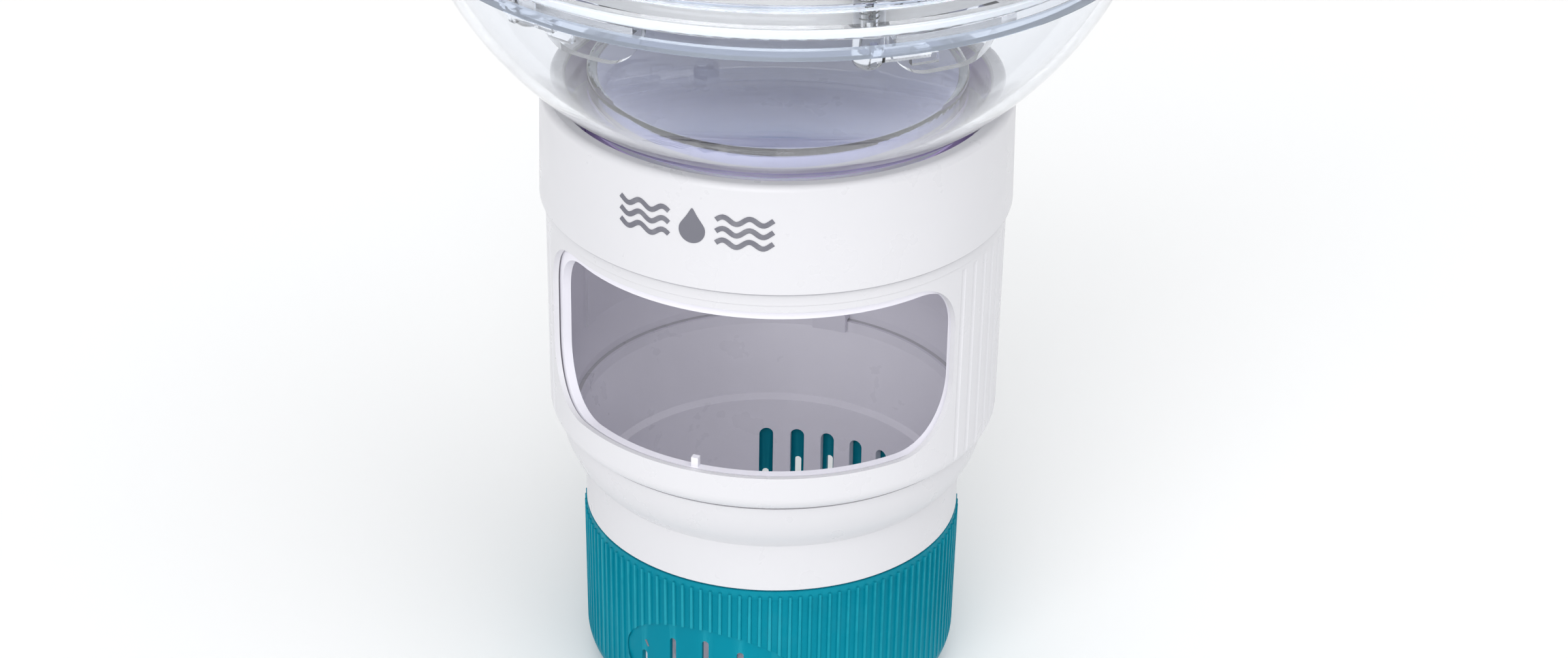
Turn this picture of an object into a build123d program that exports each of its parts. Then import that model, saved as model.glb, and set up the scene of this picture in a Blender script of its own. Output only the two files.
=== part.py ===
from build123d import *
from math import acos, atan, cos, degrees, radians, sin, sqrt
import os

# Floating chlorine dispenser with a clear lighted globe, millimetres.
# It stands on its base: Z runs up the middle, the front is -Y, and an angle
# is measured from the front towards +X (anticlockwise seen from above).

# Globe
GLOBE_R = 92.5
GLOBE_WALL = 2.5
GLOBE_Z = 240.5
SEAM_Z = 218.5
RIM_LOW_Z = 210.2
RIM_OUTER_R = 89.4
RIM_INNER_R = 86.9
DOME_RIM_R = 90.6
DOME_RIM_TOP = 224.0
FLOOR_Z = 169.6
FLOOR_R = 47.6
RECESS_R = 45.1
BOWL_FOOT_Z = 161.5
SPIGOT_R = 86.6
SPIGOT_IN_R = 84.7
SPIGOT_LOW = 212.5

# Screws, bosses and bayonet tabs around the seam
STATION_TURN = 32.5
STATIONS = [STATION_TURN + 60 * i for i in range(6)]
BOSS_PCD_R = 78.5
BOSS_R = 3.6
BOSS_LOW = 204.5
BOSS_TOP = 222.5
BOSS_RIB = (1.8, 9.0, 5.5)
SCREW_R = 1.45
SCREW_HEAD_R = 2.8
TAB_START = 3.0
TAB_SPAN = 20.5
TAB_R = 77.5
TAB_WALL = 2.5
TAB_LOW = 202.0
TAB_ROUND = 10.0
SHELF_T = 2.2
LIP_REACH = 1.6
LIP_LOW = 205.2
LIP_TOP = 207.6
LIP_START = 3.6
LIP_SPAN = 4.6
CATCH_SPAN = 9.0
CATCH_T = 2.0
SEAL_TOP = SEAM_Z - 1.3
SEAL_LOW = SEAM_Z - 3.5
SEAL_IN_R = SPIGOT_R - 1.2

# Light unit
TRAY_R = 73.0
TRAY_LOW = 213.0
TRAY_SKIRT = 209.5
TRAY_FLOOR = 2.0
TRAY_TOP = 236.0
EAR_T = 2.3
EAR_END_R = 82.5
LIGHT_HOLE_R = 26.0
DIFFUSER_R = 27.5
DIFFUSER_LOW = 191.0
SHEET_T = 1.6
BOARD_R = 35.0
BOARD_T = 1.6
BOARD_SCREW_R = 31.5
LED_PCD_R = 15.0
LED_R = 2.5
LED_FLANGE_R = 2.9
PANEL_R = 70.6
PANEL_Z = 233.6
PANEL_T = 2.2
CELL_SIDE = 70.0
CELL_T = 1.8
POST_PCD_R = 62.0
POST_R = 4.0
BATTERY_R = 7.1
BATTERY_L = 49.5
BATTERY_Z = 226.0
NUB_R = 2.7
NUB_T = 1.5
HOLDER_END = 2.2
HOLDER_W = 19.0
HOLDER_H = 12.5
CONTACT_SIDE = 9.0
CONTACT_T = 0.4
PAD_R = 2.2
PAD_T = 1.6
BUTTON_Y = 56.0
BUTTON_R = 5.0
BUTTON_STEM_R = 1.8
BUTTON_STEM_LOW = 229.9
SWITCH_POST_X = 11.0
SWITCH_POST_R = 2.5
SWITCH_POST_TOP = 222.0
SWITCH_BOARD = (30.0, 12.0)
SWITCH_SIDE = 8.0
SWITCH_H = 4.5

# Neck: collar, inner cage and turning sleeve
COLLAR_Z = 136.5
COLLAR_TOP = 164.9
COLLAR_R = 59.1
COLLAR_TOP_R = 58.7
COLLAR_IN_R = 56.5
COLLAR_LIP_IN_R = 54.4
DECK_Z = 146.5
SEAT_Z = 160.2
SPIGOT_TOP = 166.7
NECK_SPIGOT_R = 44.8
SLEEVE_TOP = 136.2
SLEEVE_TOP_R = 57.6
SLEEVE_R = 57.2
SLEEVE_IN_R = 56.0
SLEEVE_LOW = 75.1
SLEEVE_ROUND = 4.0
SLEEVE_LIP_R = 53.0
CAGE_R = 55.6
CAGE_IN_R = 53.5
CAGE_LOW = 73.15
CAGE_STEP = 77.6
CAGE_NECK_R = 52.65
CAGE_NECK_IN_R = 51.2
CAGE_SWELL = (52.6, 79.4)
CAGE_SWELL_TOP = 84.0
CAGE_TOP = 146.3
CEILING_T = 2.3
CAGE_RIBS = (-97, 100)
CAGE_RIB_SPAN = 4.8
NIB_ANGLE = -2.0
NIB = (1.8, 1.6, 2.6)
DECK_SCREW_R = 45.4
DECK_T = 2.5
DECK_WEB = (2.0, 9.0, 9.0)
DECK_WEB_R = 52.5
FINGER_LOW = 70.4
FINGER_T = 1.35
FINGER_SPAN = 11.0
WINDOW_LOW = 85.2
WINDOW_TOP = 131.4
SLEEVE_WINDOW = (6.35, 61.95)
CAGE_WINDOW = (8.75, 61.95)
CAGE_WINDOW_TOP = 128.6
WINDOW_LOW_ROUND = 17.0
WINDOW_TOP_ROUND = 15.0
CAGE_TOP_ROUND = 13.0
CUTTER_R = 66.0
CUTTER_IN_R = 44.0
FLUTE_PITCH = 5.0
FLUTES = 11
FLUTE_TOP = 133.4
FLUTE_R = 1.3
FLUTE_DEPTH = 0.4

# Tablet cup and flow ring
CUP_RIM_Z = 74.8
CUP_RIM_R = 54.4
CUP_LEDGE_Z = 73.1
CUP_LEDGE_R = 49.4
CUP_R = 48.3
SHOULDER_Z = 60.3
SHOULDER_MID = (52.7, 66.6)
CUP_IN_R = 45.9
CUP_IN_MID = (47.3, 62.0)
INNER_LEDGE_Z = 50.4
WELL_R = 44.3
SEAT_R = 46.4
CUP_FLOOR = 14.5
CUP_FLOOR_T = 2.5
FLOOR_RIB = (2.0, 70.0, 2.5)
RING_TOP = 46.8
RING_R = 48.35
RING_LOW_R = 48.4
RING_IN_R = 46.7
RING_ROUND = 11.0
RING_FLOOR = 2.4
RIB_COUNT = 120
RIB_ROOT_R = 48.2
RIB_TOP_R = 48.85
RIB_TIP = 0.55
RIB_ROOT = 1.0
RIM_BAND = 1.4
SLOT_PITCH = 11.0
SLOT_GROUPS = (0, 180)
CUP_SLOT_W = 3.8
CUP_SLOT_TOP = 40.2
CUP_SLOT_LOW = 19.0
RING_SLOT_W = 1.8
RING_SLOT_TOPS = {0: (20.5, 27.8, 29.6, 27.8, 20.5), 180: (25.9, 30.2, 32.0, 30.2, 25.9)}
RING_SLOT_LOW = 12.0
LOWER_TURN = -1.8
PANEL_HALF_W = 23.6
PANEL_HALF_H = 13.4
PANEL_MID_Z = 19.8
PANEL_DEPTH = 0.3
HUB_R = 8.7
HUB_LOW = 3.3
HUB_RECESS_R = 16.0
BALLAST_R = 38.0
BALLAST_H = 5.0

# Placing: angles of repeated screws, and the gap between pieces that touch
QUARTERS = (45, 135, 225, 315)
THIRDS = (0, 120, 240)
TOUCH = 0.05
STANDING = (Align.CENTER, Align.CENTER, Align.MIN)
HANGING = (Align.CENTER, Align.CENTER, Align.MAX)


def at(radius, angle, z=0.0):
    """Place at a radius and an angle from the front, turned to face outwards."""
    return Rot(0, 0, angle) * Pos(0, -radius, z)


def lathe(*curves):
    """Solid of revolution about Z from curves drawn as (radius, height)."""
    outline = curves[0]
    for curve in curves[1:]:
        outline = outline + curve
    return revolve(make_face(Plane.XZ * outline), Axis.Z, 360)


def turned(*points):
    """Solid of revolution about Z from straight runs through (radius, height)."""
    return lathe(Polyline(*points, close=True))


def tube(outer, inner, low, high):
    """Plain ring between two radii and two heights."""
    return turned((inner, low), (outer, low), (outer, high), (inner, high))


def disc(radius, low, high):
    """Plain disc between two heights."""
    return Pos(0, 0, low) * Cylinder(radius, high - low, align=STANDING)


def sector(outer, inner, low, high, start, span):
    """Part of a ring that begins at an angle from the front and spans another."""
    section = Plane.XZ * make_face(
        Polyline((inner, low), (outer, low), (outer, high), (inner, high), close=True)
    )
    return Rot(0, 0, start - 90) * revolve(section, Axis.Z, span)


def sphere_r(radius, z):
    """Radius of the globe's sphere of a given radius at height z."""
    return sqrt(radius ** 2 - (z - GLOBE_Z) ** 2)


def sphere_z(radius, r):
    """Lower height of the globe's sphere of a given radius at distance r."""
    return GLOBE_Z - sqrt(radius ** 2 - r ** 2)


def globe_arc(radius, start, end):
    """Arc of the globe's section between two (radius, height) points on it."""
    a = degrees(acos(max(-1, min(1, (start[1] - GLOBE_Z) / radius))))
    b = degrees(acos(max(-1, min(1, (end[1] - GLOBE_Z) / radius))))
    mid = radians((a + b) / 2)
    return ThreePointArc(start, (radius * sin(mid), GLOBE_Z + radius * cos(mid)), end)


def radial_edges(solid):
    """Straight level edges of a sector, the ones that point at the axis."""
    return [e for e in solid.edges().filter_by(GeomType.LINE) if abs(e.tangent_at(0).Z) < 0.01]


def window_cutter(centre, half, low, high, low_round, top_round):
    """Sector through the wall with rounded corners."""
    block = sector(CUTTER_R, CUTTER_IN_R, low, high, centre - half, 2 * half)
    mid = (low + high) / 2
    block = fillet([e for e in radial_edges(block) if e.center().Z < mid], low_round)
    return fillet([e for e in radial_edges(block) if e.center().Z > mid], top_round)


def union(parts):
    """Fuse a list of shapes."""
    total = parts[0]
    for part in parts[1:]:
        total = total + part
    return total


def wall_clip():
    """Sphere halfway through the globe's wall, used to trim what joins it."""
    return Pos(0, 0, GLOBE_Z) * Sphere(GLOBE_R - GLOBE_WALL / 2)


# ---------------------------------------------------------------- globe

def lower_bowl():
    inner = GLOBE_R - GLOBE_WALL
    foot = (sphere_r(GLOBE_R, BOWL_FOOT_Z), BOWL_FOOT_Z)
    rim = (sphere_r(GLOBE_R, RIM_LOW_Z), RIM_LOW_Z)
    rim_in = (sphere_r(inner, RIM_LOW_Z), RIM_LOW_Z)
    step = (FLOOR_R, sphere_z(inner, FLOOR_R))
    floor_low = FLOOR_Z - GLOBE_WALL
    shell = lathe(
        Line((0, floor_low), (RECESS_R, floor_low)),
        Line((RECESS_R, floor_low), (RECESS_R, BOWL_FOOT_Z)),
        Line((RECESS_R, BOWL_FOOT_Z), foot),
        globe_arc(GLOBE_R, foot, rim),
        Line(rim, (RIM_OUTER_R, RIM_LOW_Z + 0.8)),
        Line((RIM_OUTER_R, RIM_LOW_Z + 0.8), (RIM_OUTER_R, SEAM_Z - 0.5)),
        Line((RIM_OUTER_R, SEAM_Z - 0.5), (RIM_OUTER_R - 0.5, SEAM_Z)),
        Line((RIM_OUTER_R - 0.5, SEAM_Z), (RIM_INNER_R, SEAM_Z)),
        Line((RIM_INNER_R, SEAM_Z), (RIM_INNER_R, RIM_LOW_Z)),
        Line((RIM_INNER_R, RIM_LOW_Z), rim_in),
        globe_arc(inner, rim_in, step),
        Line(step, (FLOOR_R, FLOOR_Z - 1.5)),
        RadiusArc((FLOOR_R, FLOOR_Z - 1.5), (FLOOR_R - 1.5, FLOOR_Z), -1.5),
        Line((FLOOR_R - 1.5, FLOOR_Z), (0, FLOOR_Z)),
        Line((0, FLOOR_Z), (0, floor_low)),
    )
    clip = wall_clip()
    for angle in STATIONS:
        shell = shell + bowl_station(angle, clip)
    for angle in STATIONS:
        shell = shell - at(BOSS_PCD_R, angle) * disc(SCREW_R, BOSS_TOP - 10, BOSS_TOP + 1)
    return shell


def bowl_station(angle, clip):
    """Screw boss, the rib that ties it to the wall, and the bayonet catch."""
    boss = disc(BOSS_R, BOSS_LOW, BOSS_TOP)
    boss = at(BOSS_PCD_R, angle) * fillet(boss.edges().group_by(Axis.Z)[0], 2.5)
    rib_middle = BOSS_PCD_R + BOSS_RIB[1] / 2 + 0.5
    rib = at(rib_middle, angle, SPIGOT_LOW - 0.5) * Box(*BOSS_RIB, align=HANGING)
    catch_low = LIP_TOP + 0.3
    catch_in_r = TAB_R + TAB_WALL + 0.4
    catch = sector(GLOBE_R, catch_in_r, catch_low, catch_low + CATCH_T, angle, CATCH_SPAN)
    return boss + (rib & clip) + (catch & clip)


def upper_dome():
    inner = GLOBE_R - GLOBE_WALL
    edge = (sphere_r(GLOBE_R, DOME_RIM_TOP), DOME_RIM_TOP)
    edge_in = (sphere_r(inner, DOME_RIM_TOP + 0.5), DOME_RIM_TOP + 0.5)
    rim_low = SEAM_Z + 0.3
    shell = lathe(
        globe_arc(GLOBE_R, (0, GLOBE_Z + GLOBE_R), edge),
        Line(edge, (DOME_RIM_R, DOME_RIM_TOP - 0.5)),
        Line((DOME_RIM_R, DOME_RIM_TOP - 0.5), (DOME_RIM_R, rim_low + 0.5)),
        Line((DOME_RIM_R, rim_low + 0.5), (DOME_RIM_R - 0.5, rim_low)),
        Line((DOME_RIM_R - 0.5, rim_low), (SPIGOT_R, rim_low)),
        Line((SPIGOT_R, rim_low), (SPIGOT_R, SEAL_TOP)),
        Line((SPIGOT_R, SEAL_TOP), (SEAL_IN_R, SEAL_TOP)),
        Line((SEAL_IN_R, SEAL_TOP), (SEAL_IN_R, SEAL_LOW)),
        Line((SEAL_IN_R, SEAL_LOW), (SPIGOT_R, SEAL_LOW)),
        Line((SPIGOT_R, SEAL_LOW), (SPIGOT_R, SPIGOT_LOW)),
        Line((SPIGOT_R, SPIGOT_LOW), (SPIGOT_IN_R, SPIGOT_LOW)),
        Line((SPIGOT_IN_R, SPIGOT_LOW), (SPIGOT_IN_R, SEAM_Z + 2.5)),
        Line((SPIGOT_IN_R, SEAM_Z + 2.5), edge_in),
        globe_arc(inner, edge_in, (0, GLOBE_Z + inner)),
        Line((0, GLOBE_Z + inner), (0, GLOBE_Z + GLOBE_R)),
    )
    return union([shell] + [dome_tab(angle) for angle in STATIONS])


def dome_tab(angle):
    """Bayonet tab that hangs inside the bowl's rim, with its locking lip."""
    start = angle + TAB_START
    top = SPIGOT_LOW + SHELF_T
    shelf = sector(SPIGOT_IN_R + 0.6, TAB_R, SPIGOT_LOW, top, start, TAB_SPAN)
    tab = sector(TAB_R + TAB_WALL, TAB_R, TAB_LOW, top, start, TAB_SPAN)
    tab = fillet([e for e in radial_edges(tab) if e.center().Z < TAB_LOW + 1], TAB_ROUND)
    lip_r = TAB_R + TAB_WALL + LIP_REACH
    lip = sector(lip_r, TAB_R + 1, LIP_LOW, LIP_TOP, start + LIP_START, LIP_SPAN)
    return tab + shelf + lip


def globe_seal():
    ring = tube(RIM_INNER_R - TOUCH, SEAL_IN_R + TOUCH, SEAL_LOW + TOUCH, SEAL_TOP - TOUCH)
    return fillet(ring.edges(), 0.5)


# ---------------------------------------------------------------- light unit

def pan_screw(length):
    """Pan-head screw with its head's underside at z = 0."""
    head = fillet(disc(SCREW_HEAD_R, 0, 1.9).edges().group_by(Axis.Z)[-1], 0.8)
    body = head + disc(SCREW_R - 0.05, -length + 1.5, 0.5)
    tip = Pos(0, 0, -length) * Cone(0.3, SCREW_R - 0.05, 1.5, align=STANDING)
    slot_a = Pos(0, 0, 1.5) * Box(2.6, 0.7, 1.2)
    slot_b = Pos(0, 0, 1.5) * Box(0.7, 2.6, 1.2)
    return body + tip - slot_a - slot_b


def tray_screws():
    top = BOSS_TOP + TOUCH + EAR_T + TOUCH
    return [at(BOSS_PCD_R, angle, top) * pan_screw(12) for angle in STATIONS]


def light_tray():
    wall = tube(TRAY_R, TRAY_R - 2, TRAY_SKIRT, TRAY_TOP)
    tray = wall + tube(TRAY_R - 1, LIGHT_HOLE_R, TRAY_LOW, TRAY_LOW + TRAY_FLOOR)
    for angle in STATIONS:
        tray = tray + tray_ear(angle)
        tray = tray - at(BOSS_PCD_R, angle) * disc(SCREW_R + 0.15, BOSS_TOP - 1, BOSS_TOP + EAR_T + 1)
    for angle in QUARTERS:
        post = at(POST_PCD_R, angle) * disc(POST_R, TRAY_LOW + 1, PANEL_Z - TOUCH)
        tray = tray + post - at(POST_PCD_R, angle) * disc(SCREW_R, PANEL_Z - 9, PANEL_Z + 1)
    for angle in THIRDS:
        tray = tray - at(BOARD_SCREW_R, angle) * disc(SCREW_R + 0.1, TRAY_LOW - 1, TRAY_LOW + 4)
    return tray + switch_posts()


def tray_ear(angle):
    """Round-ended lug that rests on a boss of the bowl."""
    low = BOSS_TOP + TOUCH
    end_r = 4.5
    reach = EAR_END_R - end_r - TRAY_R + 1
    arm = at(TRAY_R - 1 + reach / 2, angle, low) * Box(2 * end_r, reach, EAR_T, align=STANDING)
    return arm + at(BOSS_PCD_R - 0.5, angle) * disc(end_r, low, low + EAR_T)


def switch_posts():
    """Two posts that carry the switch board at the back of the tray."""
    post = disc(SWITCH_POST_R, TRAY_LOW + 1, SWITCH_POST_TOP)
    return union([Pos(side * SWITCH_POST_X, BUTTON_Y, 0) * post for side in (-1, 1)])


def led_board():
    low = TRAY_LOW + TRAY_FLOOR + TOUCH
    board = disc(BOARD_R, low, low + BOARD_T)
    for angle in THIRDS:
        board = board - at(BOARD_SCREW_R, angle) * disc(SCREW_R + 0.1, TRAY_LOW, TRAY_LOW + 6)
    return board


def led(angle):
    top = TRAY_LOW + TRAY_FLOOR
    dome_z = top - 4
    body = disc(LED_R, dome_z, top) + disc(LED_FLANGE_R, top - 1, top)
    return at(LED_PCD_R, angle) * (body + Pos(0, 0, dome_z) * Sphere(LED_R))


def light_diffuser():
    """Frosted dish under the tray: a spherical cap with a flat flange."""
    high = TRAY_LOW - TOUCH
    flange = high - SHEET_T
    depth = flange - DIFFUSER_LOW
    radius = (DIFFUSER_R ** 2 + depth ** 2) / (2 * depth)
    mouth = disc(DIFFUSER_R + 5, flange, flange + 2 * radius)
    outer = Pos(0, 0, DIFFUSER_LOW + radius) * Sphere(radius) - mouth
    inner = Pos(0, 0, DIFFUSER_LOW + radius) * Sphere(radius - SHEET_T)
    dome = outer + disc(BOARD_R + 1, flange, high) - inner - disc(DIFFUSER_R - SHEET_T, flange, high + 1)
    for angle in THIRDS:
        dome = dome - at(BOARD_SCREW_R, angle) * disc(SCREW_R + 0.1, flange - 1, high + 1)
    return dome


def board_screws():
    low = TRAY_LOW - TOUCH - SHEET_T - TOUCH
    return [at(BOARD_SCREW_R, angle, low) * Rot(180, 0, 0) * pan_screw(7) for angle in THIRDS]


def battery():
    cell = Rot(0, 90, 0) * Cylinder(BATTERY_R, BATTERY_L - NUB_T)
    cell = Pos(-NUB_T / 2, 0, 0) * fillet(cell.edges(), 0.8)
    nub = Pos(BATTERY_L / 2 - NUB_T, 0, 0) * Rot(0, 90, 0) * Cylinder(NUB_R, 2 * NUB_T)
    return Pos(0, 0, BATTERY_Z) * (cell + nub)


def battery_holder():
    low = TRAY_LOW + TRAY_FLOOR + TOUCH + BOARD_T + TOUCH
    pocket_r = BATTERY_R + 0.3
    length = BATTERY_L + 2 * HOLDER_END
    block = Pos(0, 0, low) * Box(length + 3.6, HOLDER_W, HOLDER_H, align=STANDING)
    pocket = Pos(0, 0, BATTERY_Z) * Rot(0, 90, 0) * Cylinder(pocket_r, length)
    mouth = Pos(0, 0, BATTERY_Z) * Box(length, 2 * pocket_r, HOLDER_H, align=STANDING)
    return block - pocket - mouth


def battery_contact(side):
    """Flat contact with a domed touch pad at one end of the cell."""
    near = BATTERY_L / 2 + TOUCH
    plate = Box(CONTACT_T, CONTACT_SIDE, CONTACT_SIDE)
    plate = Pos(side * (near + PAD_T + CONTACT_T / 2), 0, BATTERY_Z - 1) * plate
    pad = Pos(side * (near + PAD_T / 2), 0, BATTERY_Z) * Rot(0, 90, 0) * Cylinder(PAD_R, PAD_T)
    return plate + pad


def panel_plate():
    plate = disc(PANEL_R, PANEL_Z, PANEL_Z + PANEL_T)
    pocket = CELL_SIDE + 0.6
    plate = plate - Pos(0, 0, PANEL_Z + 1) * Box(pocket, pocket, 5, align=STANDING)
    for angle in QUARTERS:
        plate = plate - at(POST_PCD_R, angle) * disc(SCREW_R + 0.15, PANEL_Z - 1, PANEL_Z + 5)
    guard = Pos(0, BUTTON_Y, 0) * disc(BUTTON_R + 2.2, PANEL_Z, PANEL_Z + PANEL_T + 1.2)
    return plate + guard - Pos(0, BUTTON_Y, 0) * disc(BUTTON_R + 0.3, PANEL_Z - 1, PANEL_Z + 5)


def solar_cell():
    slab = Pos(0, 0, PANEL_Z + 1 + TOUCH) * Box(CELL_SIDE, CELL_SIDE, CELL_T, align=STANDING)
    return fillet(slab.edges().filter_by(Axis.Z), 3)


def panel_screws():
    top = PANEL_Z + PANEL_T + TOUCH
    return [at(POST_PCD_R, angle, top) * pan_screw(9) for angle in QUARTERS]


def switch_board():
    low = SWITCH_POST_TOP + TOUCH
    board = Pos(0, BUTTON_Y, low) * Box(*SWITCH_BOARD, BOARD_T, align=STANDING)
    return fillet(board.edges().filter_by(Axis.Z), 1.5)


def power_switch():
    low = SWITCH_POST_TOP + TOUCH + BOARD_T + TOUCH
    body = Pos(0, BUTTON_Y, low) * Box(SWITCH_SIDE, SWITCH_SIDE, SWITCH_H, align=STANDING)
    return fillet(body.edges().group_by(Axis.Z)[-1], 0.6)


def power_button():
    """Cap on a stem, with a flange that keeps it under the plate."""
    top = PANEL_Z + PANEL_T + 2.6
    cap = fillet(disc(BUTTON_R, PANEL_Z - 0.5, top).edges().group_by(Axis.Z)[-1], 0.9)
    flange = disc(BUTTON_R + 1.5, PANEL_Z - 1.8, PANEL_Z - 0.3)
    stem = disc(BUTTON_STEM_R, BUTTON_STEM_LOW, PANEL_Z - 1)
    return Pos(0, BUTTON_Y, 0) * (cap + flange + stem)


# ---------------------------------------------------------------- neck

def collar():
    lip = 1.7
    wall = lathe(
        Line((COLLAR_R - 0.4, COLLAR_Z), (COLLAR_R, COLLAR_Z + 0.4)),
        Line((COLLAR_R, COLLAR_Z + 0.4), (COLLAR_TOP_R, COLLAR_TOP - lip)),
        RadiusArc((COLLAR_TOP_R, COLLAR_TOP - lip), (COLLAR_TOP_R - lip, COLLAR_TOP), -lip),
        Line((COLLAR_TOP_R - lip, COLLAR_TOP), (COLLAR_LIP_IN_R + 0.4, COLLAR_TOP - 0.1)),
        Line((COLLAR_LIP_IN_R + 0.4, COLLAR_TOP - 0.1), (COLLAR_LIP_IN_R, COLLAR_TOP - 0.5)),
        Line((COLLAR_LIP_IN_R, COLLAR_TOP - 0.5), (COLLAR_LIP_IN_R, COLLAR_TOP - 1.5)),
        Line((COLLAR_LIP_IN_R, COLLAR_TOP - 1.5), (COLLAR_IN_R, COLLAR_TOP - 3.6)),
        Line((COLLAR_IN_R, COLLAR_TOP - 3.6), (COLLAR_IN_R, COLLAR_Z)),
        Line((COLLAR_IN_R, COLLAR_Z), (COLLAR_R - 0.4, COLLAR_Z)),
    )
    seat_r = RECESS_R + 3.5
    deck_top = DECK_Z + DECK_T
    in_r = NECK_SPIGOT_R - DECK_T
    roof = SPIGOT_TOP - CEILING_T
    deck = turned(
        (in_r, DECK_Z), (COLLAR_IN_R + 0.5, DECK_Z), (COLLAR_IN_R + 0.5, deck_top), (seat_r, deck_top),
        (seat_r, SEAT_Z), (NECK_SPIGOT_R, SEAT_Z), (NECK_SPIGOT_R, SPIGOT_TOP), (0, SPIGOT_TOP),
        (0, roof), (in_r, roof),
    )
    body = wall + deck
    for angle in QUARTERS:
        body = body - at(DECK_SCREW_R, angle) * disc(SCREW_R, DECK_Z - 1, DECK_Z + 11)
        body = body + at(DECK_WEB_R, angle, DECK_Z + 2) * Box(*DECK_WEB, align=STANDING)
    return body


def bowl_gasket():
    return tube(FLOOR_R + 0.4, RECESS_R - 0.2, SEAT_Z + TOUCH, BOWL_FOOT_Z - TOUCH)


def inner_cage():
    wall = lathe(
        Line((0, CAGE_TOP - CEILING_T), (0, CAGE_TOP)),
        Line((0, CAGE_TOP), (CAGE_R, CAGE_TOP)),
        Line((CAGE_R, CAGE_TOP), (CAGE_R, CAGE_STEP + 1)),
        Line((CAGE_R, CAGE_STEP + 1), (CAGE_R - 1, CAGE_STEP)),
        Line((CAGE_R - 1, CAGE_STEP), (CAGE_NECK_R, CAGE_STEP)),
        Line((CAGE_NECK_R, CAGE_STEP), (CAGE_NECK_R, CAGE_LOW)),
        Line((CAGE_NECK_R, CAGE_LOW), (CAGE_NECK_IN_R, CAGE_LOW)),
        Line((CAGE_NECK_IN_R, CAGE_LOW), (CAGE_NECK_IN_R, CAGE_LOW + 2)),
        ThreePointArc((CAGE_NECK_IN_R, CAGE_LOW + 2), CAGE_SWELL, (CAGE_IN_R, CAGE_SWELL_TOP)),
        Line((CAGE_IN_R, CAGE_SWELL_TOP), (CAGE_IN_R, CAGE_TOP - CEILING_T)),
        Line((CAGE_IN_R, CAGE_TOP - CEILING_T), (0, CAGE_TOP - CEILING_T)),
    )
    centre, half = CAGE_WINDOW
    wall = wall - window_cutter(
        centre, half, WINDOW_LOW, CAGE_WINDOW_TOP, WINDOW_LOW_ROUND, CAGE_TOP_ROUND
    )
    for angle in QUARTERS:
        wall = wall - at(DECK_SCREW_R, angle) * disc(SCREW_R + 0.15, CAGE_TOP - 4, CAGE_TOP + 1)
    for angle in CAGE_RIBS:
        start = angle - CAGE_RIB_SPAN / 2
        wall = wall + sector(
            CAGE_IN_R + 0.5, CAGE_IN_R - 0.8, CAGE_SWELL_TOP, CAGE_TOP - 2, start, CAGE_RIB_SPAN
        )
    for angle in (0, 180):
        wall = wall + snap_finger(angle)
    return wall + at(CAGE_IN_R + 1.05, NIB_ANGLE, WINDOW_LOW) * Box(*NIB, align=STANDING)


def snap_finger(angle):
    """Finger that reaches down inside the cup's rim and clicks into its wall."""
    outer = CUP_LEDGE_R - 0.25
    inner = outer - FINGER_T
    start = angle - FINGER_SPAN / 2
    finger = sector(outer, inner, FINGER_LOW, CAGE_LOW + 2.5, start, FINGER_SPAN)
    bridge = sector(CAGE_NECK_IN_R + 0.6, inner, CAGE_LOW + 0.6, CAGE_LOW + 2.5, start, FINGER_SPAN)
    return finger + bridge


def cage_screws():
    low = CAGE_TOP - CEILING_T - TOUCH
    return [at(DECK_SCREW_R, angle, low) * Rot(180, 0, 0) * pan_screw(12) for angle in QUARTERS]


def window_sleeve():
    band = SLEEVE_TOP_R + 0.3
    low_arc = SLEEVE_LOW + SLEEVE_ROUND
    inner_low = SLEEVE_LOW + 1.5
    shell = lathe(
        Line((SLEEVE_IN_R, SLEEVE_TOP), (band, SLEEVE_TOP)),
        Line((band, SLEEVE_TOP), (band, FLUTE_TOP)),
        Line((band, FLUTE_TOP), (SLEEVE_TOP_R, FLUTE_TOP - 0.3)),
        Line((SLEEVE_TOP_R, FLUTE_TOP - 0.3), (SLEEVE_R, low_arc)),
        RadiusArc((SLEEVE_R, low_arc), (SLEEVE_R - SLEEVE_ROUND, SLEEVE_LOW), SLEEVE_ROUND),
        Line((SLEEVE_R - SLEEVE_ROUND, SLEEVE_LOW), (SLEEVE_LIP_R, SLEEVE_LOW)),
        Line((SLEEVE_LIP_R, SLEEVE_LOW), (SLEEVE_LIP_R, inner_low)),
        Line((SLEEVE_LIP_R, inner_low), (SLEEVE_IN_R - 1.2, inner_low)),
        Line((SLEEVE_IN_R - 1.2, inner_low), (SLEEVE_IN_R, inner_low + 1.2)),
        Line((SLEEVE_IN_R, inner_low + 1.2), (SLEEVE_IN_R, SLEEVE_TOP)),
    )
    centre, half = SLEEVE_WINDOW
    shell = shell - window_cutter(
        centre, half, WINDOW_LOW, WINDOW_TOP, WINDOW_LOW_ROUND, WINDOW_TOP_ROUND
    )
    first = half + FLUTE_PITCH / 2
    for side in (-1, 1):
        for i in range(FLUTES):
            shell = shell - flute(centre + side * (first + i * FLUTE_PITCH))
    return shell


def flute(angle):
    """Shallow upright groove between two reeds of the grip."""
    height = FLUTE_TOP - SLEEVE_LOW - 2.3
    lean = degrees(atan((SLEEVE_TOP_R - SLEEVE_R) / height))
    groove = Cylinder(FLUTE_R, height, align=STANDING)
    return at(SLEEVE_R + FLUTE_R - FLUTE_DEPTH, angle, SLEEVE_LOW + 0.8) * Rot(lean, 0, 0) * groove


# ---------------------------------------------------------------- cup and ring

def slot(radius, angle, width, low, high):
    """Upright through-slot with round ends, cut along the radius."""
    reach = 8.0
    body = Box(width, reach, high - low - width)
    cap = Rot(90, 0, 0) * Cylinder(width / 2, reach)
    half = (high - low - width) / 2
    shape = body + Pos(0, 0, half) * cap + Pos(0, 0, -half) * cap
    return at(radius, angle, (low + high) / 2) * shape


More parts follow.
